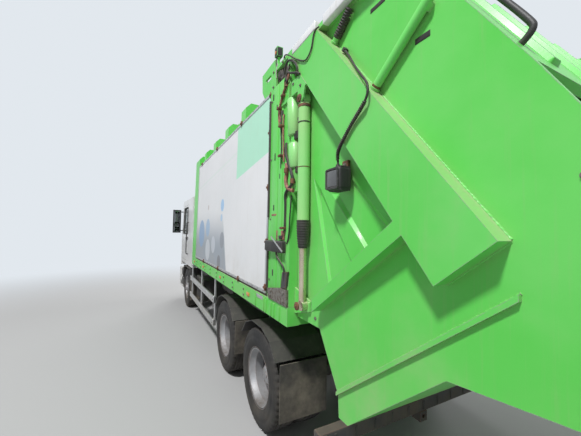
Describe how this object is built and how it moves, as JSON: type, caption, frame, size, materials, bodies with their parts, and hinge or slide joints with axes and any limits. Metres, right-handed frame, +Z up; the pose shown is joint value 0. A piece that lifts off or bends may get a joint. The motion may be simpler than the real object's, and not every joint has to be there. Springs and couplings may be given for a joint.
{
  "type": "refuse collection truck",
  "caption": "Cab-over refuse truck with ribbed body, flat side panels, lifting tailgate with packer, lift cylinders and bin lift, on twin-wheel rear bogie.",
  "frame": {"origin": "centre of the footprint, on the ground under the tyres", "axes": "+X forward, +Y to the truck's left, +Z up"},
  "size_m": [9.78, 3, 3.972],
  "materials": {
    "green_paint": "gloss green paint, dusty and worn at edges",
    "white_paint": "gloss white paint",
    "dark_paint": "satin dark grey chassis paint",
    "grey_paint": "satin grey paint, worn",
    "tyre": "dull black tyre rubber",
    "rim_paint": "silver wheel paint",
    "steel": "bare worn steel",
    "aluminium": "mill-finish aluminium",
    "black_plastic": "black textured plastic",
    "glass": "tinted glass",
    "engine": "cast iron",
    "rubber": "black rubber"
  },
  "bodies": {
    "chassis": {"chassis_rails": "dark_paint", "cross_members": "dark_paint", "tow_sockets": "dark_paint", "underrun_bar": "dark_paint", "engine_block": "engine", "spring_packs": "dark_paint", "front_axle": "dark_paint", "drive_axles": "dark_paint", "body_floor": "green_paint", "body_walls": "green_paint", "body_ribs": "green_paint", "body_rear_ring": "green_paint", "side_panels": "white_paint", "front_bumper": "white_paint", "steps": "black_plastic", "cab_pivots": "dark_paint", "hydraulic_tank": "dark_paint", "air_intake": "black_plastic", "fuel_tank": "aluminium", "battery_box": "black_plastic", "side_guards": "aluminium", "headlamps": "black_plastic", "mudguards": "black_plastic"},
    "cab": {"cab_shell": "white_paint", "windscreen": "glass", "cab_interior": "black_plastic", "mirrors": "black_plastic"},
    "tailgate": {"tailgate_shell": "green_paint", "tail_frames": "green_paint", "guide_bars": "steel", "tail_lamps": "black_plastic", "lamp_cable_left": "rubber", "lamp_cable_right": "rubber"},
    "carriage": {"packer_carriage": "green_paint"},
    "blade": {"packer_blade": "green_paint"},
    "ejector": {"ejector_plate": "grey_paint"},
    "bin_lifter": {"bin_lift": "grey_paint"},
    "door_left": {"door_left": "white_paint", "door_glass_left": "glass"},
    "knuckle_left": {"knuckle_left": "dark_paint"},
    "front_wheel_left": {"front_tyre_left": "tyre", "front_rim_left": "rim_paint"},
    "middle_wheels_left": {"middle_tyres_left": "tyre", "middle_rims_left": "rim_paint"},
    "rear_wheels_left": {"rear_tyres_left": "tyre", "rear_rims_left": "rim_paint"},
    "lift_barrel_left": {"lift_barrel_left": "green_paint"},
    "lift_rod_left": {"lift_rod_left": "steel"},
    "door_right": {"door_right": "white_paint", "door_glass_right": "glass"},
    "knuckle_right": {"knuckle_right": "dark_paint"},
    "front_wheel_right": {"front_tyre_right": "tyre", "front_rim_right": "rim_paint"},
    "middle_wheels_right": {"middle_tyres_right": "tyre", "middle_rims_right": "rim_paint"},
    "rear_wheels_right": {"rear_tyres_right": "tyre", "rear_rims_right": "rim_paint"},
    "lift_barrel_right": {"lift_barrel_right": "green_paint"},
    "lift_rod_right": {"lift_rod_right": "steel"}
  },
  "joints": [
    {"name": "cab_tilt", "type": "hinge", "parent": "chassis", "child": "cab", "pos_m": [4.74, 0, 1.05], "axis": [0, 1, 0], "range_deg": [0, 50]},
    {"name": "tailgate_lift", "type": "hinge", "parent": "chassis", "child": "tailgate", "pos_m": [-2.825, 0, 3.727], "axis": [0, 1, 0], "range_deg": [0, 85]},
    {"name": "packer_slide", "type": "slide", "parent": "tailgate", "child": "carriage", "axis": [-0.6225, 0, -0.7826], "range_m": [0, 0.6]},
    {"name": "packer_sweep", "type": "hinge", "parent": "carriage", "child": "blade", "pos_m": [-3.67471, 0, 2.76627], "axis": [0, 1, 0], "range_deg": [0, 60]},
    {"name": "ejector_slide", "type": "slide", "parent": "chassis", "child": "ejector", "axis": [-1, 0, 0], "range_m": [0, 4.2]},
    {"name": "bin_lift_turn", "type": "hinge", "parent": "tailgate", "child": "bin_lifter", "pos_m": [-4.79, 0, 1.6], "axis": [0, 1, 0], "range_deg": [0, 150]},
    {"name": "door_left_swing", "type": "hinge", "parent": "cab", "child": "door_left", "pos_m": [4.609, 1.212, 2], "axis": [0, 0, -1], "range_deg": [0, 70]},
    {"name": "steer_left", "type": "hinge", "parent": "chassis", "child": "knuckle_left", "pos_m": [3.44, 0.9, 0.51], "axis": [0, 0, 1], "range_deg": [-35, 35]},
    {"name": "front_spin_left", "type": "hinge", "parent": "knuckle_left", "child": "front_wheel_left", "pos_m": [3.44, 1.0775, 0.51], "axis": [0, 1, 0], "continuous": true},
    {"name": "middle_spin_left", "type": "hinge", "parent": "chassis", "child": "middle_wheels_left", "pos_m": [-0.595, 0.9275, 0.51], "axis": [0, 1, 0], "continuous": true},
    {"name": "rear_spin_left", "type": "hinge", "parent": "chassis", "child": "rear_wheels_left", "pos_m": [-1.995, 0.9275, 0.51], "axis": [0, 1, 0], "continuous": true},
    {"name": "lift_barrel_left_turn", "type": "hinge", "parent": "tailgate", "child": "lift_barrel_left", "pos_m": [-2.938, 1.206, 3.215], "axis": [0, 1, 0], "range_deg": [-97, 0]},
    {"name": "lift_rod_left_slide", "type": "slide", "parent": "lift_barrel_left", "child": "lift_rod_left", "axis": [-0.0041, 0, -1], "range_m": [0, 0.67]},
    {"name": "door_right_swing", "type": "hinge", "parent": "cab", "child": "door_right", "pos_m": [4.609, -1.212, 2], "axis": [0, 0, 1], "range_deg": [0, 70]},
    {"name": "steer_right", "type": "hinge", "parent": "chassis", "child": "knuckle_right", "pos_m": [3.44, -0.9, 0.51], "axis": [0, 0, 1], "range_deg": [-35, 35]},
    {"name": "front_spin_right", "type": "hinge", "parent": "knuckle_right", "child": "front_wheel_right", "pos_m": [3.44, -1.0775, 0.51], "axis": [0, 1, 0], "continuous": true},
    {"name": "middle_spin_right", "type": "hinge", "parent": "chassis", "child": "middle_wheels_right", "pos_m": [-0.595, -0.9275, 0.51], "axis": [0, 1, 0], "continuous": true},
    {"name": "rear_spin_right", "type": "hinge", "parent": "chassis", "child": "rear_wheels_right", "pos_m": [-1.995, -0.9275, 0.51], "axis": [0, 1, 0], "continuous": true},
    {"name": "lift_barrel_right_turn", "type": "hinge", "parent": "tailgate", "child": "lift_barrel_right", "pos_m": [-2.938, -1.206, 3.215], "axis": [0, 1, 0], "range_deg": [-97, 0]},
    {"name": "lift_rod_right_slide", "type": "slide", "parent": "lift_barrel_right", "child": "lift_rod_right", "axis": [-0.0041, 0, -1], "range_m": [0, 0.67]}
  ],
  "couplings": [
    {"joint": "lift_barrel_left_turn", "follows": "tailgate_lift", "ratio": -1.119},
    {"joint": "lift_rod_left_slide", "follows": "tailgate_lift", "m_per_rad": 0.41422},
    {"joint": "lift_barrel_right_turn", "follows": "tailgate_lift", "ratio": -1.119},
    {"joint": "lift_rod_right_slide", "follows": "tailgate_lift", "m_per_rad": 0.41422},
    {"joint": "steer_right", "follows": "steer_left", "ratio": 1}
  ]
}
